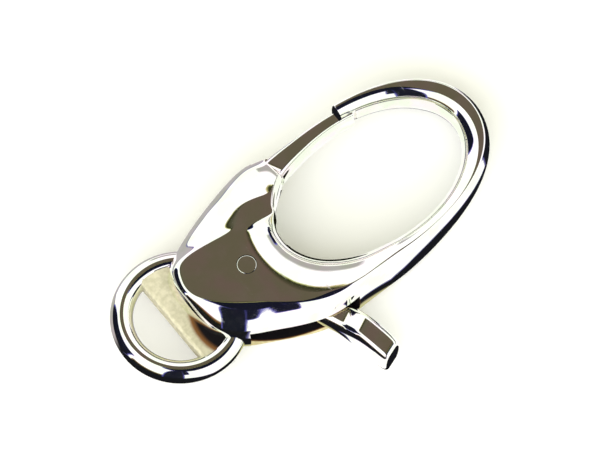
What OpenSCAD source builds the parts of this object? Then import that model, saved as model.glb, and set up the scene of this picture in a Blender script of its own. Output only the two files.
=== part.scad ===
// Lobster clasp lying on its back: hooked body with a tail loop, sprung lever and flush rivet.
// X runs from the tail loop to the hook's end, Y towards the gate, Z up off the back face.

/* [Eye and hook] */
// Length of the eye inside the hook, along the clasp
eye_len = 7.6; // [7:0.1:8.6]
// Width of the eye, from spine to gate
eye_wid = 4.9; // [4.7:0.02:5.4]
// Width of the hook in plan at its end
hook_w = 1.04; // [0.9:0.01:1.2]
// Depth of the hook, front to back, at its end
hook_thk = 1.5; // [1.2:0.05:1.9]

/* [Body] */
// Depth of the body, from its back face to its front face
body_thk = 2.5; // [2.3:0.05:3.2]
// Length of the body from the eye to its end wall
body_len = 4.62; // [4.4:0.02:5.4]
// Half width of the body across the spine and the shoulder
body_half = 3.56; // [3.4:0.01:4]
// Width of the rounded rim along the eye
rim_w = 1.6; // [1.3:0.01:1.8]
// Width of the rounded shoulder on the gate side
shoulder_w = 1.87; // [1.4:0.01:2.1]

/* [Tail loop] */
// Outside diameter of the tail loop
loop_od = 5.1; // [4.6:0.05:5.6]
// Thickness of the loop's wire
loop_wire = 0.84; // [0.7:0.01:1]
// Clear length of the D-shaped hole, from the loop's wire to its web
loop_hole = 1.32; // [1.1:0.01:1.6]
// Thickness of the web that backs the loop
web_thk = 0.7; // [0.5:0.01:0.8]

/* [Lever] */
// Thickness of the lever where it runs in the slot
lever_thk = 0.9; // [0.7:0.01:1.1]
// Depth of the gate, front to back, outside the body
gate_thk = 1.25; // [1:0.01:1.6]
// Width of the gate at its root, in plan
gate_w = 1.02; // [0.9:0.01:1.15]
// How far the gate's inner edge stands into the eye
gate_inset = 0.15; // [0:0.01:0.2]
// Width of the thumb piece
nub_w = 1.14; // [0.9:0.01:1.3]
// Distance from the pivot to the end of the thumb piece
nub_len = 6.14; // [5.6:0.02:6.6]
// Depth of the thumb pad, front to back
pad_thk = 1.34; // [1.1:0.01:1.9]
// Angle that the lever turns through when the gate opens
open_deg = 24; // [18:1:26]

/* [Pivot and clearances] */
// Diameter of the rivet
rivet_d = 0.72; // [0.6:0.01:0.9]
// Diameter of the lever's hub round the rivet
hub_d = 2.2; // [1.9:0.02:2.4]
// Clearance between the lever and the slot's cheeks
slot_gap = 0.1; // [0.06:0.01:0.14]
// Radial clearance of the rivet in the body
seat_gap = 0.015; // [0.01:0.005:0.03]
// Radial clearance of the lever's hub on the rivet
pivot_gap = 0.04; // [0.03:0.005:0.08]
// Gap at the joint between the gate's tip and the hook's tip
tip_gap = 0.2; // [0.16:0.01:0.26]

/* [Hidden] */
$fn = 48;
silver = [0.80, 0.80, 0.82];
// Stretches between two rows of a table, and along each rounding of a rib's section.
rib_steps = 3;
arc_steps = 5;
// A length that reaches past the whole clasp.
big = 20;

// The eye's half axes, and the size of the clasp about the eye's centre.
eye_a = eye_len / 2;
eye_b = eye_wid / 2;
tail_x = eye_a + body_len;
body_zc = body_thk / 2;

// The loop's wire is centred just beyond the end wall, and its web reaches back into the body.
loop_r = (loop_od - loop_wire) / 2;
loop_x = -tail_x - 0.09 * loop_r;
loop_sweep = 260;
hole_x = loop_x - loop_r + loop_wire / 2 + loop_hole;
web_reach = 0.27 * body_len;

// The pivot sits in the body's thick part, between the rim, the shoulder and the spine.
pivot_x = -eye_a - 0.42 * body_len;
pivot_y = -0.06 * body_half;
hub_r = hub_d / 2;
rivet_sink = 0.01 * body_thk;

// The lever's two arms: their directions from the pivot, and how far the thumb piece bends aside.
gate_dir = 39;
nub_dir = -61;
nub_bend = 7;
tongue_w = 0.74 * gate_w;
tongue_len = 0.97 * body_len;

// The lever's edges are rounded by these shares of the gate's and of the thumb piece's width.
gate_round = 0.2;
nub_round = 0.24;
// The arms are drawn a little thinner than the hub that they grow from.
stem_share = 0.98;

// The slot: its height, the angle left free past each stop, and the wider angle at its mouths.
slot_h = lever_thk + 2 * slot_gap;
slot_play = 1;
gate_mouth = 5;
nub_mouth = 23;
open_gate_dir = gate_dir - open_deg;
open_nub_dir = nub_dir - open_deg;

// The two roundings of a rib never meet: at least this much stays between them.
round_least = 0.02;

// Ribs of the body run from the eye to the outline, from the gate's root by the tail to the spine:
// angle on the eye, outline's x and y, rounding by the eye and by the outline, depth,
// as shares of the tail's length, the half width, the rim, the shoulder and the body's depth,
// and how far the outer rounding is slanted: 1 is a quarter ellipse and 2 a straight bevel.
body_ribs = [
    [131.5, -0.318, 0.860, 0.10, 0.30, 0.66, 1],
    [134, -0.342, 0.880, 0.11, 0.62, 0.84, 1],
    [140, -0.415, 0.900, 0.11, 0.80, 0.96, 1],
    [149, -0.524, 0.856, 0.11, 0.98, 1, 1],
    [157, -0.651, 0.768, 0.10, 0.80, 1, 1],
    [163.5, -0.768, 0.674, 0.12, 0.95, 1, 1],
    [170, -0.875, 0.566, 0.74, 1.12, 1, 1],
    [175, -0.956, 0.442, 0.86, 0.36, 1, 1],
    [179, -0.994, 0.262, 0.90, 0.22, 1, 1],
    [182, -1.000, 0.030, 0.93, 0.19, 1, 1],
    [186, -0.995, -0.207, 0.96, 0.44, 1, 1],
    [190, -0.963, -0.436, 1.00, 0.70, 1, 1],
    [196, -0.882, -0.635, 1.05, 0.74, 1, 1.1],
    [204, -0.766, -0.787, 1.12, 0.58, 1, 1.3],
    [213, -0.649, -0.903, 1.13, 0.45, 1, 1.2],
    [222, -0.544, -0.978, 1.04, 0.43, 1, 1],
    [232, -0.435, -1.000, 0.93, 0.36, 1, 1],
    [243, -0.317, -0.972, 0.76, 0.25, 1, 1]
];

// Ribs of the hook stand square to the eye, on to the hook's tip: angle on the eye, width as a share
// of the hook's, rounding by the eye and by the outline as shares of the rib's width,
// and depth, which is the hook's own at 0 and the body's at 1.
hook_ribs = [
    [256, 1.00, 0.72, 0.22, 0.95],
    [270, 0.82, 0.76, 0.20, 0.72],
    [286, 0.73, 0.78, 0.20, 0.45],
    [304, 0.76, 0.76, 0.20, 0.22],
    [322, 0.88, 0.68, 0.20, 0.07],
    [340, 1.02, 0.58, 0.20, 0],
    [358, 1.06, 0.48, 0.20, 0],
    [375, 1.02, 0.42, 0.20, 0],
    [390, 0.93, 0.43, 0.20, 0],
    [404, 0.83, 0.55, 0.21, -0.02],
    [417, 0.74, 0.64, 0.22, -0.07],
    [430, 0.68, 0.68, 0.22, -0.12],
    [441, 0.65, 0.68, 0.22, -0.15]
];

// Ribs of the gate, from its root to its tip: angle on the eye, width, depth, set into the eye,
// as shares of the root's width and depth and of the gate's inset.
gate_ribs = [
    [129, 1.00, 0.84, 0],
    [127, 1.00, 0.96, 0.10],
    [120, 0.88, 1, 0.50],
    [110, 0.74, 1, 0.90],
    [99, 0.63, 1, 1],
    [89, 0.57, 1, 1],
    [81, 0.55, 1, 1],
    [73, 0.55, 0.98, 1]
];

// Stations of the thumb piece, from the hub to its end: distance, bend, width, depth,
// as shares of its length, the bend, the stem's width and the pad's depth beyond the stem's.
nub_stations = [
    [0.10, 0, 0.96, 0],
    [0.34, 0, 1.00, 0],
    [0.55, 0.06, 1.00, 0],
    [0.65, 0.20, 1.00, 0.04],
    [0.71, 0.33, 1.00, 0.55],
    [0.77, 0.48, 1.00, 0.95],
    [0.86, 0.70, 1.00, 1],
    [0.94, 0.88, 0.99, 0.98],
    [0.985, 0.97, 0.92, 0.88],
    [1, 1, 0.78, 0.55]
];

// The part stands with the middle of its bounding box over the origin.
mid_x = (max(outer_points(hook_side(), 0)) + loop_x - loop_od / 2) / 2;
nub_edges = concat(inner_points(nub_side(), 1), outer_points(nub_side(), 1));
mid_y = (max(outer_points(body_side(), 1)) + min(nub_edges)) / 2;

function ray(angle) = [cos(angle), sin(angle)];
function on_eye(angle) = [eye_a * cos(angle), eye_b * sin(angle)];
function eye_normal(angle) =
    let (n = [cos(angle) / eye_a, sin(angle) / eye_b]) n / norm(n);
function inner_points(ribs, way) = [for (rib = ribs) rib[0][way]];
function outer_points(ribs, way) = [for (rib = ribs) rib[1][way]];

// A curve through the rows of a table, with rib_steps stretches between two rows.
function blend(p, q, r, s, t) = 0.5 * (2 * q + (r - p) * t
    + (2 * p - 5 * q + 4 * r - s) * t * t + (3 * q - p - 3 * r + s) * t * t * t);
function smooth(rows) = let (last = len(rows) - 1) [
    for (i = [0 : last - 1], k = [0 : rib_steps - 1])
        blend(rows[max(i - 1, 0)], rows[i], rows[i + 1], rows[min(i + 2, last)], k / rib_steps),
    rows[last]
];

// A rib is [inner point, outer point, inner rounding, outer rounding, half depth, outer slant].
function body_rib(r) = [on_eye(r[0]), [tail_x * r[1], body_half * r[2]],
    rim_w * r[3], shoulder_w * r[4], body_zc * min(r[5], 1), r[6]];
function hook_depth(share) = hook_thk / 2 + (body_zc - hook_thk / 2) * share;
function hook_rib(r) =
    let (w = hook_w * r[1], inner = on_eye(r[0]))
    [inner, inner + w * eye_normal(r[0]), w * r[2], w * r[3], hook_depth(r[4]), 1];
function gate_rib(r) =
    let (w = gate_w * r[1], inner = on_eye(r[0]) - gate_inset * r[3] * eye_normal(r[0]))
    [inner, inner + w * eye_normal(r[0]), gate_round * w, gate_round * w, gate_thk / 2 * r[2], 1];
function nub_rib(r) =
    let (angle = nub_dir - nub_bend * r[1], w = nub_w * r[2] / 2,
        side = [-sin(angle), cos(angle)],
        centre = [pivot_x, pivot_y] + nub_len * r[0] * ray(angle),
        depth = stem_share * (lever_thk + (pad_thk - lever_thk) * r[3]) / 2)
    [centre - w * side, centre + w * side, 2 * nub_round * w, 2 * nub_round * w, depth, 1];

function body_side() = [for (r = smooth(body_ribs)) body_rib(r)];
function hook_side() = [for (r = smooth(hook_ribs)) hook_rib(r)];
function gate_side() = [for (r = smooth(gate_ribs)) gate_rib(r)];
function nub_side() = [for (r = smooth(nub_stations)) nub_rib(r)];

// A quarter round from [0, 0] up to [1, 1], bulged as an ellipse or slanted towards a straight bevel.
function rounding(slant) = [for (i = [0 : arc_steps]) let (t = 90 * i / arc_steps)
    [1 - pow(cos(t), slant), pow(sin(t), slant)]];

// The outline of one rib's section, once round from its inner edge over the front.
function rib_points(rib) =
    let (run = rib[1] - rib[0], w = norm(run), dir = run / w,
        a = min(rib[2], w - round_least), b = min(rib[3], w - round_least - a), c = rib[4],
        rise = rounding(1), slant = rounding(rib[5]),
        front = concat(
            [for (p = rise) [a * p[0], c * p[1]]],
            [for (p = reversed(slant)) [w - b * p[0], c * p[1]]]),
        back = [for (i = [len(front) - 2 : -1 : 1]) [front[i][0], -front[i][1]]])
    [for (p = concat(front, back)) [rib[0][0] + dir[0] * p[0], rib[0][1] + dir[1] * p[0], p[1]]];

function reversed(rows) = [for (i = [len(rows) - 1 : -1 : 0]) rows[i]];

// A closed solid over a row of ribs whose outer points lie to the left of the way they run.
module loft(ribs) {
    n = 4 * arc_steps + 2;
    m = len(ribs);
    points = [for (rib = ribs) each rib_points(rib)];
    sides = [for (i = [0 : m - 2], j = [0 : n - 1])
        let (a = i * n + j, b = i * n + (j + 1) % n, c = b + n, d = a + n)
        each [[a, b, c], [a, c, d]]];
    start = [for (j = [n - 1 : -1 : 0]) j];
    end = [for (j = [0 : n - 1]) (m - 1) * n + j];
    polyhedron(points = points, faces = concat([start], sides, [end]));
}

// A flat piece in the middle plane.
module slice(thickness) {
    translate([0, 0, -thickness / 2])
        linear_extrude(thickness)
            children();
}

// The sweep of an arm of the given width about the pivot, between two directions.
module sweep(from, to, width, reach) {
    side_from = width / 2 * [-sin(from), cos(from)];
    side_to = width / 2 * [-sin(to), cos(to)];
    translate([pivot_x, pivot_y])
        polygon([
            side_from,
            reach * ray(from) + side_from,
            reach / cos((from - to) / 2) * ray((from + to) / 2),
            reach * ray(to) - side_to,
            -side_to
        ]);
}

// The stepped joint between the two tips: its place along the eye, its step and its overlap.
lap_x = 0.21 * eye_a;
lap_y = on_eye(70)[1] - gate_inset + 0.28 * gate_w;
lap_step = 0.3 * tip_gap;
lip = 1.2 * tip_gap;

module lap_cut(x_from, x_to, y_from, y_to) {
    translate([x_from, y_from, -body_thk])
        cube([x_to - x_from, y_to - y_from, 2 * body_thk]);
}

module tail_loop() {
    translate([loop_x, 0, 0]) {
        rotate([0, 0, 180 - loop_sweep / 2])
            rotate_extrude(angle = loop_sweep)
                translate([loop_r, 0])
                    circle(d = loop_wire);
        intersection() {
            cylinder(r = loop_r, h = web_thk, center = true);
            translate([hole_x - loop_x, -big / 2, -web_thk])
                cube([web_reach, big, 2 * web_thk]);
        }
    }
}

module lever_slot() {
    slice(slot_h) {
        translate([pivot_x, pivot_y])
            circle(r = hub_r + slot_gap);
        sweep(gate_dir + gate_mouth, open_gate_dir - slot_play, tongue_w + 2 * slot_gap, 1.3 * body_len);
        sweep(nub_dir + slot_play, open_nub_dir - slot_play - nub_mouth, nub_w + 2 * slot_gap,
            1.1 * body_len);
    }
}

module body() {
    color(silver)
        translate([-mid_x, -mid_y, body_zc])
            union() {
                difference() {
                    loft(reversed(concat(body_side(), hook_side())));
                    lever_slot();
                    translate([pivot_x, pivot_y, 0])
                        cylinder(d = rivet_d + 2 * seat_gap, h = 2 * body_thk, center = true);
                    lap_cut(0, lap_x - lip / 2, 0, big);
                    lap_cut(0, lap_x + lip + tip_gap, 0, lap_y);
                }
                tail_loop();
            }
}

module lever() {
    color(silver)
        translate([-mid_x, -mid_y, body_zc])
            difference() {
                union() {
                    translate([pivot_x, pivot_y, 0])
                        cylinder(d = hub_d, h = lever_thk, center = true);
                    slice(lever_thk)
                        sweep(gate_dir, gate_dir, tongue_w, tongue_len);
                    loft(gate_side());
                    loft(nub_side());
                }
                translate([pivot_x, pivot_y, 0])
                    cylinder(d = rivet_d + 2 * seat_gap + 2 * pivot_gap, h = 2 * body_thk, center = true);
                lap_cut(lap_x + lip, eye_a, 0, big);
                lap_cut(lap_x - lip / 2 - tip_gap, eye_a, lap_y - lap_step, big);
            }
}

module rivet() {
    color(silver)
        translate([pivot_x - mid_x, pivot_y - mid_y, rivet_sink])
            cylinder(d = rivet_d, h = body_thk - 2 * rivet_sink);
}

body();
lever();
rivet();
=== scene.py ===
from math import cos, radians, sin

import bmesh
import bpy
from mathutils import Matrix, Vector


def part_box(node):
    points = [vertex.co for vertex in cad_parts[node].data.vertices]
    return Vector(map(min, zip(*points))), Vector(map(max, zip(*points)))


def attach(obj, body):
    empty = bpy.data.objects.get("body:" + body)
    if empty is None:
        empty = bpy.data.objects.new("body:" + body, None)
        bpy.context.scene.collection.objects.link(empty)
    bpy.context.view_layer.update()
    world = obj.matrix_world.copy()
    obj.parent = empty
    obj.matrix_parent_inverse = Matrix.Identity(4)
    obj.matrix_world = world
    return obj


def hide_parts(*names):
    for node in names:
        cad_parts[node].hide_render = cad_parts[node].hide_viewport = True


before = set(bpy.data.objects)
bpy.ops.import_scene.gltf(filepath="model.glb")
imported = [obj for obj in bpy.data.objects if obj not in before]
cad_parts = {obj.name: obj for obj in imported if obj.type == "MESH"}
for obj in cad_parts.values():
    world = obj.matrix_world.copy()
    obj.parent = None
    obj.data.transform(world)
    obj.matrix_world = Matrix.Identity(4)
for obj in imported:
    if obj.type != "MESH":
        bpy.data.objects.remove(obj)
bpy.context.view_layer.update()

mm = 0.001

# Camera
# It looks down on the clasp from 68 degrees above the floor, from the side of the thumb piece. It stands
# far off, so that nothing tapers with distance.
view_turn = radians(-37.5)
view_rise = radians(68)
image_right = Vector((cos(view_turn), sin(view_turn), 0))
image_far = Vector((-sin(view_turn), cos(view_turn), 0))
up = Vector((0, 0, 1))
towards_camera = sin(view_rise) * up - cos(view_rise) * image_far
image_up = towards_camera.cross(image_right)
frame_width = 21.74 * mm
frame_centre = -0.881 * mm * image_right + 1.785 * mm * image_up
camera_distance = 80 * mm

bpy.ops.object.camera_add(location=frame_centre + camera_distance * towards_camera)
camera = bpy.context.object
camera_turn = Matrix((image_right, image_up, towards_camera)).transposed()
camera.matrix_world = Matrix.Translation(camera.location) @ camera_turn.to_4x4()
camera.data.type = "ORTHO"
camera.data.ortho_scale = frame_width
camera.data.clip_start = 1 * mm
camera.data.clip_end = 2000 * mm
bpy.context.scene.camera = camera
bpy.context.scene.view_settings.view_transform = "Standard"

# Light tent
# White cloth walls stand all round the clasp, with a dark opening overhead and a dark lens beside it. Dark
# cards stand at the spine, tail, loop and hook, and a pale one at the far side. Polished metal mirrors
# all of these, while the sheet is lit from the near side.
white_wall = (1.25, 1.25, 1.25)
black_card = (0.008, 0.009, 0.020)
violet_fringe = (0.13, 0.12, 0.55)
tail_black = (0.010, 0.012, 0.008)
brown_fringe = (0.24, 0.11, 0.03)
pale_card = (0.46, 0.45, 0.43)
pale_fringe = (0.84, 0.82, 0.84)
opening_rim = (0.030, 0.034, 0.012)
opening_left = (0.124, 0.112, 0.076)
opening_right = (0.146, 0.104, 0.079)
opening_fringe = (0.62, 0.60, 0.24)
dim_side = (0.62, 0.62, 0.45)
lamp_white = (3.7, 3.7, 3.7)


def link(tree, source, target):
    tree.links.new(source, target)


def along(tree, direction, axis):
    """How far a direction or a place lies along an axis."""
    dot = tree.nodes.new("ShaderNodeVectorMath")
    dot.operation = "DOT_PRODUCT"
    dot.inputs[1].default_value = axis
    link(tree, direction, dot.inputs[0])
    return dot.outputs["Value"]


def ramp(tree, value, none, full):
    """A soft step from 0 to 1 as a value goes from none to full, which may be up or down."""
    step = tree.nodes.new("ShaderNodeMapRange")
    step.interpolation_type = "SMOOTHSTEP"
    step.inputs["From Min"].default_value = none
    step.inputs["From Max"].default_value = full
    link(tree, value, step.inputs["Value"])
    return step.outputs["Result"]


def combine(tree, operation, first, second):
    """A Math node on two values, each a number or another node's output."""
    result = tree.nodes.new("ShaderNodeMath")
    result.operation = operation
    for socket, value in zip(result.inputs, (first, second)):
        if isinstance(value, (int, float)):
            socket.default_value = value
        else:
            link(tree, value, socket)
    return result.outputs[0]


def most(tree, masks):
    """The largest of several masks."""
    largest = masks[0]
    for mask in masks[1:]:
        largest = combine(tree, "MAXIMUM", largest, mask)
    return largest


def mix_colour(tree, share, without, whole):
    """One colour where the share is 0 and another where it is 1, each a tuple or another node's output."""
    mix = tree.nodes.new("ShaderNodeMix")
    mix.data_type = "RGBA"
    link(tree, share, mix.inputs["Factor"])
    # A Mix node has sockets of each kind, and these are the ones for colours.
    first_colour, second_colour, result = mix.inputs[6], mix.inputs[7], mix.outputs[2]
    for socket, value in ((first_colour, without), (second_colour, whole)):
        if isinstance(value, tuple):
            socket.default_value = (*value, 1)
        else:
            link(tree, value, socket)
    return result


def facing(tree, direction, turn, half_width):
    """1 where a direction points at a card, turned in degrees from the image's right to its far side."""
    soft = 3
    narrowest = 0.1
    far = along(tree, direction, image_far)
    right = along(tree, direction, image_right)
    azimuth = combine(tree, "ARCTAN2", far, right)
    off = combine(tree, "SUBTRACT", azimuth, radians(turn))
    closeness = combine(tree, "COSINE", off, 0)
    whole = max(half_width - soft, narrowest)
    return ramp(tree, closeness, cos(radians(half_width + soft)), cos(radians(whole)))


def fringed(tree, mask, light, fringe, dark):
    """Light, a narrow coloured fringe and then dark, as a mask rises."""
    outer = mix_colour(tree, ramp(tree, mask, 0.03, 0.40), light, fringe)
    return mix_colour(tree, ramp(tree, mask, 0.35, 0.85), outer, dark)


world = bpy.data.worlds.new("light_tent")
bpy.context.scene.world = world
world.use_nodes = True
tent = world.node_tree
tent.nodes.clear()
ray = tent.nodes.new("ShaderNodeTexCoord").outputs["Generated"]
height = along(tent, ray, up)


def card(turn, half_width, gone, whole):
    """A standing card, which ends between two heights: 0 is the floor and 1 is straight overhead."""
    round_it = facing(tent, ray, turn, half_width)
    up_to_it = ramp(tent, height, gone, whole)
    return combine(tent, "MULTIPLY", round_it, up_to_it)


# Level faces mirror what is opposite the camera, so the opening is there. A reach of 1 is its very middle.
opening = (2 * towards_camera.z * up - towards_camera).normalized()
opening_reach = along(tent, ray, opening)
in_opening = ramp(tent, opening_reach, 0.955, 0.972)
deep_in_opening = ramp(tent, opening_reach, 0.966, 0.992)
lens = (0.20 * image_right - 0.05 * image_far + 0.98 * up).normalized()
lens_reach = along(tent, ray, lens)
in_lens = ramp(tent, lens_reach, 0.940, 0.965)
spine_card = card(-98, 12, 0.99, 0.96)
spine_streak = card(-82.5, 2.5, 0.55, 0.66)
loop_card = card(176, 26, 0.76, 0.68)
tail_card = card(-124, 27, 0.46, 0.06)
hook_card = card(32, 22, 0.20, 0.12)
far_card = card(75, 32, 0.42, 0.22)

across = ramp(tent, along(tent, ray, image_right), -0.2, 0.2)
opening_middle = mix_colour(tent, across, opening_left, opening_right)
opening_colour = mix_colour(tent, deep_in_opening, opening_rim, opening_middle)
all_black = most(tent, (in_lens, spine_card, spine_streak, loop_card, hook_card))
mirrored = fringed(tent, far_card, white_wall, pale_fringe, pale_card)
mirrored = fringed(tent, tail_card, mirrored, brown_fringe, tail_black)
mirrored = fringed(tent, all_black, mirrored, violet_fringe, black_card)
mirrored = fringed(tent, in_opening, mirrored, opening_fringe, opening_colour)

lamp_side = -0.30 * image_right - 0.954 * image_far
near_lamp = ramp(tent, along(tent, ray, lamp_side), -0.1, 0.8)
lamp_light = mix_colour(tent, near_lamp, dim_side, lamp_white)
path = tent.nodes.new("ShaderNodeLightPath")
tent_colour = mix_colour(tent, path.outputs["Is Glossy Ray"], lamp_light, mirrored)
backdrop = tent.nodes.new("ShaderNodeBackground")
link(tent, tent_colour, backdrop.inputs["Color"])
tent_output = tent.nodes.new("ShaderNodeOutputWorld")
link(tent, backdrop.outputs[0], tent_output.inputs["Surface"])

# Sheet
# A plain sheet of white card that the clasp lies on. What the metal mirrors of it is a painted reflection,
# a glow seen only by mirrored rays: painted shade in the clasp's own shade and along the foot of the dark
# cards, and painted light elsewhere.
sheet_half = 400 * mm
card_white = (0.97, 0.97, 0.96, 1)
# Painted light and painted shade that the metal mirrors of the sheet, which glows with them for mirrored
# rays only.
painted_sheet_light = (1.2, 1.2, 1.17)
painted_light_in_eye = (1.08, 1.08, 1.04)
black_shade = (0.010, 0.010, 0.014)
shoulder_shade = (0.50, 0.47, 0.48)
cheek_shade = (0.62, 0.58, 0.32)
shade_fringe = (0.16, 0.15, 0.40)
# Painted shade: a black patch on the sheet near the eye's left end, and its fringe, which the eye's left
# edge mirrors as a dark line.
painted_black_in_eye = (0.010, 0.010, 0.006)
painted_fringe_in_eye = (0.40, 0.39, 0.20)

bpy.ops.object.select_all(action="DESELECT")
bpy.ops.mesh.primitive_plane_add(size=2 * sheet_half, location=(0, 0, 0))
sheet = bpy.context.object
sheet.name = "white_sheet"
paper = bpy.data.materials.new("white_paper")
paper.use_nodes = True
paper_tree = paper.node_tree
paper_tree.nodes.clear()
spot = paper_tree.nodes.new("ShaderNodeTexCoord").outputs["Object"]


def inside_oval(tree, place, centre, half_x, half_y, soft=0.03):
    """1 inside an upright oval shaft, 0 outside, with a soft edge. Its place and sizes are in mm."""
    oval = tree.nodes.new("ShaderNodeMapping")
    oval.vector_type = "TEXTURE"
    oval.inputs["Location"].default_value = (centre[0] * mm, centre[1] * mm, 0)
    oval.inputs["Scale"].default_value = (half_x * mm, half_y * mm, 1)
    link(tree, place, oval.inputs["Vector"])
    out = tree.nodes.new("ShaderNodeVectorMath")
    out.operation = "LENGTH"
    link(tree, oval.outputs[0], out.inputs[0])
    return combine(tree, "SUBTRACT", 1, ramp(tree, out.outputs["Value"], 1 - soft, 1 + soft))


def foot_of_card(behind, turn, half_width):
    """1 on the sheet where a card stands, seen from a place behind the metal that mirrors it."""
    seen = paper_tree.nodes.new("ShaderNodeVectorMath")
    seen.operation = "SUBTRACT"
    seen.inputs[1].default_value = behind
    link(paper_tree, spot, seen.inputs[0])
    return facing(paper_tree, seen.outputs[0], turn, half_width)


def shaded(centre, half_x, half_y, soft=0.03):
    """1 inside an oval on the sheet, which is given in mm."""
    return inside_oval(paper_tree, spot, centre, half_x, half_y, soft)


eye_middle = (3.13, 1.43)
body_middle = (-0.77, 1.13)
loop_middle = (-5.48, 1.43)
behind_spine = -3.7 * mm * image_right + 1.8 * mm * image_far
behind_tail = -3.44 * mm * image_right - 1.0 * mm * image_far
behind_loop = (loop_middle[0] * mm, loop_middle[1] * mm, 0)
behind_hook = (4.2 * mm, 1.43 * mm, 0)

in_eye = shaded(eye_middle, 3.9, 2.6)
under_hook = shaded(eye_middle, 5.45, 3.80)
under_body = shaded(body_middle, 5.20, 3.90)
under_cheek = shaded(body_middle, 4.75, 3.45)
under_loop = shaded(loop_middle, 5.0, 5.0)
under_thumb = shaded((-0.1, -4.5), 0.8, 0.8)
# Where the painted black shade lies inside the eye.
shade_patch_in_eye = shaded((1.03, 1.53), 1.2, 1.3)
by_shoulder = shaded((-5.2, 9.0), 8.0, 6.8, soft=0.10)
near_body = shaded(body_middle, 9.0, 8.5, soft=0.25)
# Painted shade on the sheet, seen only in the metal: under each piece, along the foot of each dark card, and
# by the shoulder.
in_shade = most(paper_tree, (
    under_hook, under_body, under_loop, under_thumb,
    foot_of_card(behind_spine, -96, 14),
    foot_of_card(behind_tail, -124, 30),
    foot_of_card(behind_loop, 176, 28),
    foot_of_card(behind_hook, 32, 26),
    combine(paper_tree, "MULTIPLY", by_shoulder, near_body),
))
shade = combine(paper_tree, "MULTIPLY", in_shade, combine(paper_tree, "SUBTRACT", 1, in_eye))
shade_colour = mix_colour(paper_tree, by_shoulder, black_shade, shoulder_shade)
shade_colour = mix_colour(paper_tree, under_cheek, shade_colour, cheek_shade)
painted_open_light = mix_colour(paper_tree, in_eye, painted_sheet_light, painted_light_in_eye)
painted_sheet_reflection = fringed(paper_tree, shade, painted_open_light, shade_fringe, shade_colour)
painted_sheet_reflection = fringed(paper_tree, shade_patch_in_eye, painted_sheet_reflection, painted_fringe_in_eye, painted_black_in_eye)
# The painted reflection glows for mirrored rays, while all other rays meet the plain white card.
painted_sheet_glow = paper_tree.nodes.new("ShaderNodeEmission")
link(paper_tree, painted_sheet_reflection, painted_sheet_glow.inputs["Color"])
white = paper_tree.nodes.new("ShaderNodeBsdfDiffuse")
white.inputs["Color"].default_value = card_white
paper_mix = paper_tree.nodes.new("ShaderNodeMixShader")
path = paper_tree.nodes.new("ShaderNodeLightPath")
link(paper_tree, path.outputs["Is Glossy Ray"], paper_mix.inputs["Fac"])
link(paper_tree, white.outputs[0], paper_mix.inputs[1])
link(paper_tree, painted_sheet_glow.outputs[0], paper_mix.inputs[2])
paper_output = paper_tree.nodes.new("ShaderNodeOutputMaterial")
link(paper_tree, paper_mix.outputs[0], paper_output.inputs["Surface"])
sheet.data.materials.append(paper)

# Body
# One silver casting, polished all over but for the web in its tail loop and the inside of the lever's slot:
# a wide flat body that narrows along its spine into the hook.
# A rounded rim runs round the eye, a broad shoulder faces the gate, and the tail loop is cast on.
eye_centre = Vector((3.1316, 1.4345, 1.25)) * mm
eye_long = 3.80 * mm
eye_short = 2.45 * mm
body_length = 4.62 * mm
body_half = 3.56 * mm
rim_width = 1.60 * mm
shoulder_width = 1.87 * mm
body_depth = 2.50 * mm
hook_width = 1.04 * mm
hook_depth = 1.50 * mm
tail_reach = eye_long + body_length

# Ribs of the body, from the gate's root round the tail to the spine: angle on the eye, place of the
# outline, rounding by the eye and by the outline and depth, as shares of the sizes above, and slant,
# which is over 1 where the outer rounding is more of a slope.
body_ribs = [
    (131.5, -0.318, 0.860, 0.10, 0.30, 0.66, 1),
    (134, -0.342, 0.880, 0.11, 0.62, 0.84, 1),
    (140, -0.415, 0.900, 0.11, 0.80, 0.96, 1),
    (149, -0.524, 0.856, 0.11, 0.98, 1, 1),
    (157, -0.651, 0.768, 0.10, 0.80, 1, 1),
    (163.5, -0.768, 0.674, 0.12, 0.95, 1, 1),
    (170, -0.875, 0.566, 0.74, 1.12, 1, 1),
    (175, -0.956, 0.442, 0.86, 0.36, 1, 1),
    (179, -0.994, 0.262, 0.90, 0.22, 1, 1),
    (182, -1.000, 0.030, 0.93, 0.19, 1, 1),
    (186, -0.995, -0.207, 0.96, 0.44, 1, 1),
    (190, -0.963, -0.436, 1.00, 0.70, 1, 1),
    (196, -0.882, -0.635, 1.05, 0.74, 1, 1.1),
    (204, -0.766, -0.787, 1.12, 0.58, 1, 1.3),
    (213, -0.649, -0.903, 1.13, 0.45, 1, 1.2),
    (222, -0.544, -0.978, 1.04, 0.43, 1, 1),
    (232, -0.435, -1.000, 0.93, 0.36, 1, 1),
    (243, -0.317, -0.972, 0.76, 0.25, 1, 1),
]
# Ribs of the hook, on to its tip: angle on the eye, width, the two roundings as shares of the rib,
# and depth, which is the hook's own at 0 and the body's at 1.
hook_ribs = [
    (256, 1.00, 0.72, 0.22, 0.95),
    (270, 0.82, 0.76, 0.20, 0.72),
    (286, 0.73, 0.78, 0.20, 0.45),
    (304, 0.76, 0.76, 0.20, 0.22),
    (322, 0.88, 0.68, 0.20, 0.07),
    (340, 1.02, 0.58, 0.20, 0),
    (358, 1.06, 0.48, 0.20, 0),
    (375, 1.02, 0.42, 0.20, 0),
    (390, 0.93, 0.43, 0.20, 0),
    (404, 0.83, 0.55, 0.21, -0.02),
    (417, 0.74, 0.64, 0.22, -0.07),
    (430, 0.68, 0.68, 0.22, -0.12),
    (441, 0.65, 0.68, 0.22, -0.15),
]


def on_eye(angle):
    return Vector((eye_long * cos(radians(angle)), eye_short * sin(radians(angle)), 0))


def eye_normal(angle):
    return Vector((cos(radians(angle)) / eye_long, sin(radians(angle)) / eye_short, 0)).normalized()


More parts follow.
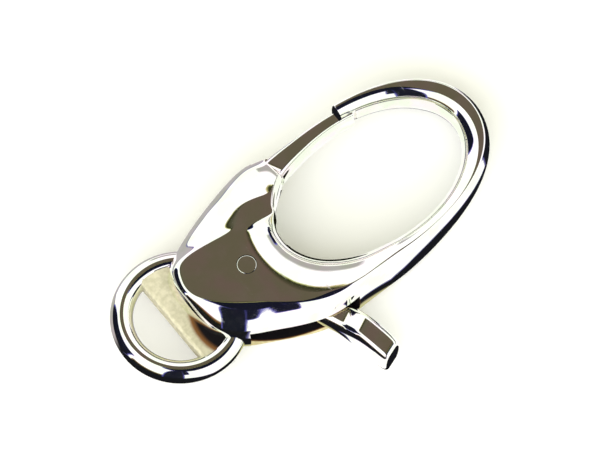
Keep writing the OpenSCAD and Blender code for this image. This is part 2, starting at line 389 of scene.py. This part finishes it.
def section(inner, outer, inner_round, outer_round, half_depth, slant=1):
    """Points once round a rib: up its inner rounding, over its flat front, down and back underneath."""
    round_steps = 5
    turns = [radians(90 * step / round_steps) for step in range(round_steps + 1)]
    level_shares = (0.06, 0.3, 0.5, 0.7, 0.94)
    width = (outer - inner).length
    out = (outer - inner) / width
    # The roundings never take up the whole width, so the level part between them is never lost.
    inner_round = min(inner_round, 0.97 * width)
    outer_round = min(outer_round, 0.98 * width - inner_round)
    level = width - inner_round - outer_round
    front = [(inner_round * (1 - cos(t)), half_depth * sin(t)) for t in turns]
    front += [(inner_round + share * level, half_depth) for share in level_shares]
    front += [(width - outer_round * (1 - cos(t) ** slant), half_depth * sin(t) ** slant)
              for t in reversed(turns)]
    ring = front + [(run, -rise) for run, rise in reversed(front[1:-1])]
    return [eye_centre + inner + run * out + Vector((0, 0, rise)) for run, rise in ring]


def curve(before, here, there, after, t):
    """A share of the way from here to there, on a smooth curve through four values."""
    slope = there - before
    bend = 2 * before - 5 * here + 4 * there - after
    twist = 3 * here - before - 3 * there + after
    return 0.5 * (2 * here + slope * t + bend * t * t + twist * t ** 3)


def smooth_rows(rows, steps=3):
    """More rows between those of a table, on a smooth curve through them all."""
    padded = [rows[0], *rows, rows[-1]]
    filled = []
    for four_rows in zip(padded, padded[1:], padded[2:], padded[3:]):
        for step in range(steps):
            filled.append(tuple(curve(*four, step / steps) for four in zip(*four_rows)))
    return filled + [rows[-1]]


def body_section(rib):
    angle, x, y, inner_round, outer_round, depth, slant = rib
    outer = Vector((tail_reach * x, body_half * y, 0))
    return section(on_eye(angle), outer, rim_width * inner_round, shoulder_width * outer_round,
                   body_depth / 2 * depth, slant)


def hook_section(rib):
    angle, share, inner_round, outer_round, depth = rib
    width = hook_width * share
    half_depth = (hook_depth + (body_depth - hook_depth) * depth) / 2
    inner = on_eye(angle)
    outer = inner + width * eye_normal(angle)
    return section(inner, outer, width * inner_round, width * outer_round, half_depth)


def deselect():
    if bpy.context.object and bpy.context.object.mode == "EDIT":
        bpy.ops.object.mode_set(mode="OBJECT")
    bpy.ops.object.select_all(action="DESELECT")


def make_active(piece):
    deselect()
    piece.select_set(True)
    bpy.context.view_layer.objects.active = piece


def settle(piece, name):
    """Names a new primitive and takes its place and turn into its mesh."""
    bpy.ops.object.mode_set(mode="OBJECT")
    bpy.ops.object.transform_apply(location=True, rotation=True, scale=True)
    piece.name = name
    piece.data.name = name
    return piece


def draw_through(name, sections):
    """A closed bar: a ring laid on the first section, then extruded on to each next one."""
    deselect()
    bpy.ops.mesh.primitive_circle_add(vertices=len(sections[0]), radius=mm, fill_type="NGON")
    bar = bpy.context.object
    bpy.ops.object.mode_set(mode="EDIT")
    mesh = bmesh.from_edit_mesh(bar.data)
    for vertex, place in zip(mesh.verts, sections[0]):
        vertex.co = place
    for last, following in zip(sections, sections[1:]):
        bpy.ops.mesh.extrude_region_move()
        mesh = bmesh.from_edit_mesh(bar.data)
        for vertex in [v for v in mesh.verts if v.select]:
            nearest = min(range(len(last)), key=lambda i: (last[i] - vertex.co).length_squared)
            vertex.co = following[nearest]
        bmesh.update_edit_mesh(bar.data)
    bpy.ops.mesh.select_all(action="SELECT")
    bpy.ops.mesh.normals_make_consistent(inside=False)
    return settle(bar, name)


def apply_modifier(piece, kind, **settings):
    make_active(piece)
    modifier = piece.modifiers.new(kind.lower(), kind)
    for key, value in settings.items():
        setattr(modifier, key, value)
    bpy.ops.object.modifier_apply(modifier=modifier.name)


def smooth_out(bar, end_crease):
    """Rounds a bar off by subdivision, and keeps its two end faces as crisp as the crease says."""
    mesh = bmesh.new()
    mesh.from_mesh(bar.data)
    layer = mesh.edges.layers.float.new("crease_edge")
    for face in mesh.faces:
        if len(face.verts) > 4:
            for edge in face.edges:
                edge[layer] = end_crease
    mesh.to_mesh(bar.data)
    mesh.free()
    apply_modifier(bar, "SUBSURF", levels=2, render_levels=2)


def combine_shapes(piece, operation, others):
    """Adds other shapes to a piece, or cuts them out of it, and removes them."""
    for other in others:
        apply_modifier(piece, "BOOLEAN", operation=operation, solver="EXACT", material_mode="TRANSFER",
                       object=other)
        bpy.data.objects.remove(other)


def smooth_shade(piece):
    make_active(piece)
    bpy.ops.object.shade_smooth_by_angle(angle=radians(35))


def make_polish_marks():
    """What polishing and wear leave on silver: faint buffing lines, a slow waviness, and small scratches."""
    plain_roughness = 0.035
    clean_silver = (0.97, 0.96, 0.94)
    rosy_silver = (0.97, 0.88, 0.91)
    green_film = (0.87, 0.92, 0.78)
    even = (1, 1, 1)
    group = bpy.data.node_groups.new("polish_marks", "ShaderNodeTree")
    group.interface.new_socket(name="Buffing", in_out="INPUT", socket_type="NodeSocketFloat")
    group.interface.new_socket(name="Roughness", in_out="OUTPUT", socket_type="NodeSocketFloat")
    group.interface.new_socket(name="Height", in_out="OUTPUT", socket_type="NodeSocketFloat")
    group.interface.new_socket(name="Tint", in_out="OUTPUT", socket_type="NodeSocketColor")
    source = group.nodes.new("NodeGroupInput")
    sink = group.nodes.new("NodeGroupOutput")
    place = group.nodes.new("ShaderNodeTexCoord").outputs["Object"]

    def noise(scale, stretch, detail):
        """A cloudy pattern with so many waves to the metre."""
        spread = group.nodes.new("ShaderNodeMapping")
        spread.inputs["Scale"].default_value = stretch
        spread.inputs["Rotation"].default_value = (0, 0, radians(20))
        link(group, place, spread.inputs["Vector"])
        cloud = group.nodes.new("ShaderNodeTexNoise")
        cloud.inputs["Scale"].default_value = scale
        cloud.inputs["Detail"].default_value = detail
        link(group, spread.outputs[0], cloud.inputs["Vector"])
        return cloud.outputs["Fac"]

    lines = ramp(group, noise(9000, (0.15, 1, 1), 3), 0.35, 0.75)
    wave = noise(700, even, 2)
    scratch = ramp(group, noise(5000, (1, 0.06, 1), 2), 0.66, 0.70)
    film = ramp(group, noise(1100, even, 3), 0.35, 0.65)
    rosy = ramp(group, noise(900, even, 1), 0.40, 0.60)
    buffed = combine(group, "MULTIPLY", source.outputs["Buffing"], lines)
    dulled = combine(group, "MULTIPLY", buffed, 0.05)
    scratched = combine(group, "MULTIPLY", scratch, 0.08)
    worn = combine(group, "ADD", dulled, scratched)
    grooves = combine(group, "MULTIPLY", buffed, 0.02)
    bare = mix_colour(group, rosy, clean_silver, rosy_silver)
    link(group, combine(group, "ADD", plain_roughness, worn), sink.inputs["Roughness"])
    link(group, combine(group, "ADD", wave, grooves), sink.inputs["Height"])
    link(group, mix_colour(group, film, bare, green_film), sink.inputs["Tint"])
    return group


def make_cast_skin():
    """Silver as it leaves the mould: an even grain that no polishing wheel has reached."""
    group = bpy.data.node_groups.new("cast_skin", "ShaderNodeTree")
    for name in ("Roughness", "Height", "Grain"):
        group.interface.new_socket(name=name, in_out="OUTPUT", socket_type="NodeSocketFloat")
    sink = group.nodes.new("NodeGroupOutput")
    place = group.nodes.new("ShaderNodeTexCoord").outputs["Object"]
    grain = group.nodes.new("ShaderNodeTexNoise")
    grain.inputs["Scale"].default_value = 6000
    grain.inputs["Detail"].default_value = 4
    link(group, place, grain.inputs["Vector"])
    link(group, ramp(group, grain.outputs["Fac"], -0.9, 1.3), sink.inputs["Roughness"])
    link(group, grain.outputs["Fac"], sink.inputs["Height"])
    link(group, ramp(group, grain.outputs["Fac"], 0.3, 0.7), sink.inputs["Grain"])
    return group


def metal_with(name, surface, relief, metallic):
    """A metal that takes its roughness and its relief, in metres, from a node group."""
    material = bpy.data.materials.new(name)
    material.use_nodes = True
    tree = material.node_tree
    marks = tree.nodes.new("ShaderNodeGroup")
    marks.node_tree = surface
    bump = tree.nodes.new("ShaderNodeBump")
    bump.inputs["Distance"].default_value = relief
    link(tree, marks.outputs["Height"], bump.inputs["Height"])
    metal = tree.nodes["Principled BSDF"]
    metal.inputs["Metallic"].default_value = metallic
    link(tree, marks.outputs["Roughness"], metal.inputs["Roughness"])
    link(tree, bump.outputs["Normal"], metal.inputs["Normal"])
    return material, marks, metal


polish_marks = make_polish_marks()
cast_skin = make_cast_skin()


def polished(name, buffing, waviness):
    """Polished silver, more or less buffed, its waviness given as a depth in metres."""
    material, marks, metal = metal_with(name, polish_marks, waviness, 1)
    marks.inputs["Buffing"].default_value = buffing
    link(material.node_tree, marks.outputs["Tint"], metal.inputs["Base Color"])
    return material


def as_cast(name, dim, bright, painted_shade_oval):
    """Cast silver between two colours from its grain, black with painted shade inside an oval."""
    grain_depth = 0.01 * mm
    # Painted shade colours: a brown fringe and then black.
    painted_shade_edge = (0.20, 0.09, 0.03)
    painted_shade_black = (0.006, 0.005, 0.006)
    material, skin, metal = metal_with(name, cast_skin, grain_depth, 0.3)
    metal.inputs["Specular IOR Level"].default_value = 0.1
    tree = material.node_tree
    place = tree.nodes.new("ShaderNodeTexCoord").outputs["Object"]
    painted_shade_mask = inside_oval(tree, place, *painted_shade_oval)
    grain_colour = mix_colour(tree, skin.outputs["Grain"], dim, bright)
    link(tree, fringed(tree, painted_shade_mask, grain_colour, painted_shade_edge, painted_shade_black), metal.inputs["Base Color"])
    return material


body_sections = [body_section(rib) for rib in smooth_rows(body_ribs)]
hook_sections = [hook_section(rib) for rib in smooth_rows(hook_ribs)]
clasp_body = draw_through("body_casting", body_sections + hook_sections)
smooth_out(clasp_body, 0.85)
clasp_body.data.materials.append(polished("body_silver", 0.5, 0.006 * mm))

# The tail loop is a round wire ring about a thin web that leaves a D-shaped hole.
loop_radius = 2.13 * mm
loop_wire = 0.84 * mm
loop_centre = eye_centre - Vector((tail_reach + 0.09 * loop_radius, 0, 0))
hole_length = 1.32 * mm
web_depth = 0.70 * mm
web_reach = 0.27 * body_length
web_width = 1.88 * loop_radius
web_edge = loop_centre.x - loop_radius + loop_wire / 2 + hole_length
web_bevel = 0.12 * mm
web_dim = (0.52, 0.49, 0.34)
web_bright = (0.66, 0.62, 0.46)
# Painted shade on the web, black beside the body's end wall inside this oval: its centre and half sizes in
# mm, and its softness.
web_painted_shade = ((-3.6, 0.25), 1.80, 1.85, 0.17)

deselect()
bpy.ops.mesh.primitive_torus_add(location=loop_centre, major_segments=160, minor_segments=40,
                                 major_radius=loop_radius, minor_radius=loop_wire / 2)
ring = settle(bpy.context.object, "ring")

deselect()
bpy.ops.mesh.primitive_cube_add(size=1, location=(web_edge + web_reach / 2, loop_centre.y, loop_centre.z),
                                scale=(web_reach, web_width, web_depth))
web = bpy.context.object
bpy.ops.object.mode_set(mode="EDIT")
bpy.ops.mesh.bevel(offset=web_bevel, segments=3)
settle(web, "web")
web.data.materials.append(as_cast("web_silver", web_dim, web_bright, web_painted_shade))
combine_shapes(clasp_body, "UNION", (ring, web))

# The lever's slot runs through the body in its middle plane: a round room for the hub, and a mouth for
# the gate and for the thumb piece, each wide enough for their swing.
pivot = (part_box("rivet")[0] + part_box("rivet")[1]) / 2
lever_depth = 0.90 * mm
slot_gap = 0.10 * mm
slot_depth = lever_depth + 2 * slot_gap
hub_radius = 1.10 * mm
rivet_radius = 0.36 * mm
rivet_fit = 0.015 * mm
drill_length = 4 * mm
disc_sides = 96
gate_direction = 39
thumb_direction = -61
swing = 24
gate_width = 1.02 * mm
thumb_width = 1.14 * mm
tongue_width = 0.74 * gate_width
slot_dim = (0.80, 0.70, 0.38)
slot_bright = (0.95, 0.86, 0.52)
# Painted shade in the slot, black deeper in than the mouth inside this oval: its centre and half sizes in
# mm, and its softness.
slot_painted_shade = ((0.60, 0.90), 5.20, 2.98, 0.02)


def bearing(angle):
    return Vector((cos(radians(angle)), sin(radians(angle)), 0))


def flat_plate(name, outline, depth):
    """A plate of the given outline in the clasp's middle plane."""
    deselect()
    bpy.ops.mesh.primitive_circle_add(vertices=len(outline), radius=mm, fill_type="NGON")
    plate = bpy.context.object
    bpy.ops.object.mode_set(mode="EDIT")
    mesh = bmesh.from_edit_mesh(plate.data)
    for vertex, place in zip(mesh.verts, outline):
        vertex.co = (place.x, place.y, eye_centre.z - depth / 2)
    bmesh.update_edit_mesh(plate.data)
    bpy.ops.mesh.extrude_region_move(TRANSFORM_OT_translate={"value": (0, 0, depth)})
    bpy.ops.mesh.select_all(action="SELECT")
    bpy.ops.mesh.normals_make_consistent(inside=False)
    return settle(plate, name)


def swept_arm(start, end, width, reach):
    """The outline of an arm of the given width as it turns about the pivot between two directions."""
    side_start = width / 2 * bearing(start + 90)
    side_end = width / 2 * bearing(end + 90)
    middle = reach / cos(radians((start - end) / 2)) * bearing((start + end) / 2)
    return [pivot + p for p in (side_start, reach * bearing(start) + side_start, middle,
                                reach * bearing(end) - side_end, -side_end)]


def disc(name, radius, depth):
    """A round plate about the pivot, in the clasp's middle plane."""
    deselect()
    bpy.ops.mesh.primitive_cylinder_add(vertices=disc_sides, radius=radius, depth=depth, location=pivot)
    return settle(bpy.context.object, name)


# Each mouth reaches some degrees past both limits of the lever, and the thumb's runs on to the tail.
gate_mouth = swept_arm(gate_direction + 5, gate_direction - swing - 1,
                       tongue_width + 2 * slot_gap, 6.0 * mm)
thumb_mouth = swept_arm(thumb_direction + 1, thumb_direction - swing - 24,
                        thumb_width + 2 * slot_gap, 5.1 * mm)
slot_inside = as_cast("slot_silver", slot_dim, slot_bright, slot_painted_shade)
cutters = [
    flat_plate("gate_mouth", gate_mouth, slot_depth),
    flat_plate("thumb_mouth", thumb_mouth, slot_depth),
    disc("hub_room", hub_radius + slot_gap, slot_depth),
    disc("bore", rivet_radius + rivet_fit, drill_length),
]
for cutter in cutters:
    cutter.data.materials.append(slot_inside)
combine_shapes(clasp_body, "DIFFERENCE", cutters)

# The hook's tip is stepped, to meet the gate's tip in a lap joint.
tip_angle = 70
tip_gap = 0.20 * mm
tip_lip = 1.2 * tip_gap
gate_inset = 0.15 * mm
lap_x = eye_centre.x + 0.21 * eye_long
lap_y = eye_centre.y + on_eye(tip_angle).y - gate_inset + 0.28 * gate_width
clear_of_tip = 3 * mm


def cut_block(name, left, right, near, far):
    deselect()
    bpy.ops.mesh.primitive_cube_add(size=1, location=((left + right) / 2, (near + far) / 2, eye_centre.z),
                                    scale=(right - left, far - near, 2 * body_depth))
    return settle(bpy.context.object, name)


tip_end = cut_block("tip_end", eye_centre.x, lap_x - tip_lip / 2, eye_centre.y, lap_y + clear_of_tip)
tip_step = cut_block("tip_step", eye_centre.x, lap_x + tip_lip + tip_gap, eye_centre.y, lap_y)
combine_shapes(clasp_body, "DIFFERENCE", (tip_end, tip_step))
smooth_shade(clasp_body)
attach(clasp_body, "clasp")
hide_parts("body")

# Lever
# A silver casting that turns on the rivet: a flat hub, the gate that closes the hook's mouth, and a thumb
# piece that stands out of the spine. Its tip is stepped to lap with the hook's tip.
gate_depth = 1.25 * mm
tongue_length = 0.97 * body_length
tongue_depth = 0.96 * lever_depth
running_gap = 0.055 * mm
thumb_length = 6.14 * mm
thumb_bend = 7
pad_depth = 1.34 * mm
# The stem of the thumb piece is a little thinner than the hub, as the tongue is, so no faces coincide.
stem_share = 0.98

# Ribs of the gate, from its root to its tip: angle on the eye, width, depth and how far set into the eye.
gate_ribs = [
    (129, 1.00, 0.84, 0),
    (127, 1.00, 0.96, 0.10),
    (120, 0.88, 1, 0.50),
    (110, 0.74, 1, 0.90),
    (99, 0.63, 1, 1),
    (89, 0.57, 1, 1),
    (81, 0.55, 1, 1),
    (73, 0.55, 0.98, 1),
]
# Stations of the thumb piece, from the hub to its end: distance, bend, width, and depth beyond the stem's.
thumb_stations = [
    (0.10, 0, 0.96, 0),
    (0.34, 0, 1.00, 0),
    (0.55, 0.06, 1.00, 0),
    (0.65, 0.20, 1.00, 0.04),
    (0.71, 0.33, 1.00, 0.55),
    (0.77, 0.48, 1.00, 0.95),
    (0.86, 0.70, 1.00, 1),
    (0.94, 0.88, 0.99, 0.98),
    (0.985, 0.97, 0.92, 0.88),
    (1, 1, 0.78, 0.55),
]


def gate_section(rib):
    angle, share, depth, inset = rib
    width = gate_width * share
    inner = on_eye(angle) - gate_inset * inset * eye_normal(angle)
    outer = inner + width * eye_normal(angle)
    edge = 0.2 * width
    return section(inner, outer, edge, edge, gate_depth / 2 * depth)


def thumb_section(station):
    distance, bend, share, pad = station
    angle = thumb_direction - thumb_bend * bend
    width = thumb_width * share
    side = width / 2 * bearing(angle + 90)
    centre = pivot - eye_centre + thumb_length * distance * bearing(angle)
    depth = stem_share * (lever_depth + (pad_depth - lever_depth) * pad)
    edge = 0.24 * width
    return section(centre - side, centre + side, edge, edge, depth / 2)


lever = draw_through("gate_lever", [gate_section(rib) for rib in smooth_rows(gate_ribs)])
smooth_out(lever, 0.9)
lever.data.materials.append(polished("lever_silver", 1.0, 0.004 * mm))
thumb_piece = draw_through("thumb_piece", [thumb_section(row) for row in smooth_rows(thumb_stations)])
smooth_out(thumb_piece, 0.35)
tongue_side = tongue_width / 2 * bearing(gate_direction + 90)
tongue_end = tongue_length * bearing(gate_direction)
tongue_outline = [pivot + p for p in (tongue_side, tongue_end + tongue_side,
                                      tongue_end - tongue_side, -tongue_side)]
tongue = flat_plate("tongue", tongue_outline, tongue_depth)
hub = disc("hub", hub_radius, lever_depth)
combine_shapes(lever, "UNION", (tongue, hub, thumb_piece))

step_y = lap_y - 0.3 * tip_gap
hub_bore = disc("hub_bore", rivet_radius + running_gap, drill_length)
gate_end = cut_block("gate_end", lap_x + tip_lip, lap_x + clear_of_tip, eye_centre.y, step_y + clear_of_tip)
gate_step = cut_block("gate_step", lap_x - tip_lip / 2 - tip_gap, lap_x + 0.9 * clear_of_tip, step_y,
                      step_y + 0.9 * clear_of_tip)
combine_shapes(lever, "DIFFERENCE", (hub_bore, gate_end, gate_step))
smooth_shade(lever)
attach(lever, "gate_lever")
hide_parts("lever")

# Rivet
# A straight silver pin through both cheeks of the body. Its heads are filed flush and polished over, so
# only a fine ring shows.
rivet_length = 2.45 * mm
head_edge = 0.05 * mm
head_bevel = 0.012 * mm

deselect()
bpy.ops.mesh.primitive_cylinder_add(vertices=disc_sides, radius=rivet_radius, depth=rivet_length,
                                    location=pivot)
rivet = bpy.context.object
bpy.ops.object.mode_set(mode="EDIT")
bpy.ops.mesh.select_all(action="DESELECT")
mesh = bmesh.from_edit_mesh(rivet.data)
for face in mesh.faces:
    face.select_set(abs(face.normal.z) > 0.9)
bmesh.update_edit_mesh(rivet.data)
bpy.ops.mesh.inset(thickness=head_edge)
settle(rivet, "rivet_pin")
apply_modifier(rivet, "BEVEL", width=head_bevel, segments=2, limit_method="ANGLE", angle_limit=radians(60))
rivet.data.materials.append(polished("rivet_silver", 1.0, 0.002 * mm))
smooth_shade(rivet)
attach(rivet, "clasp")
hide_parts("rivet")
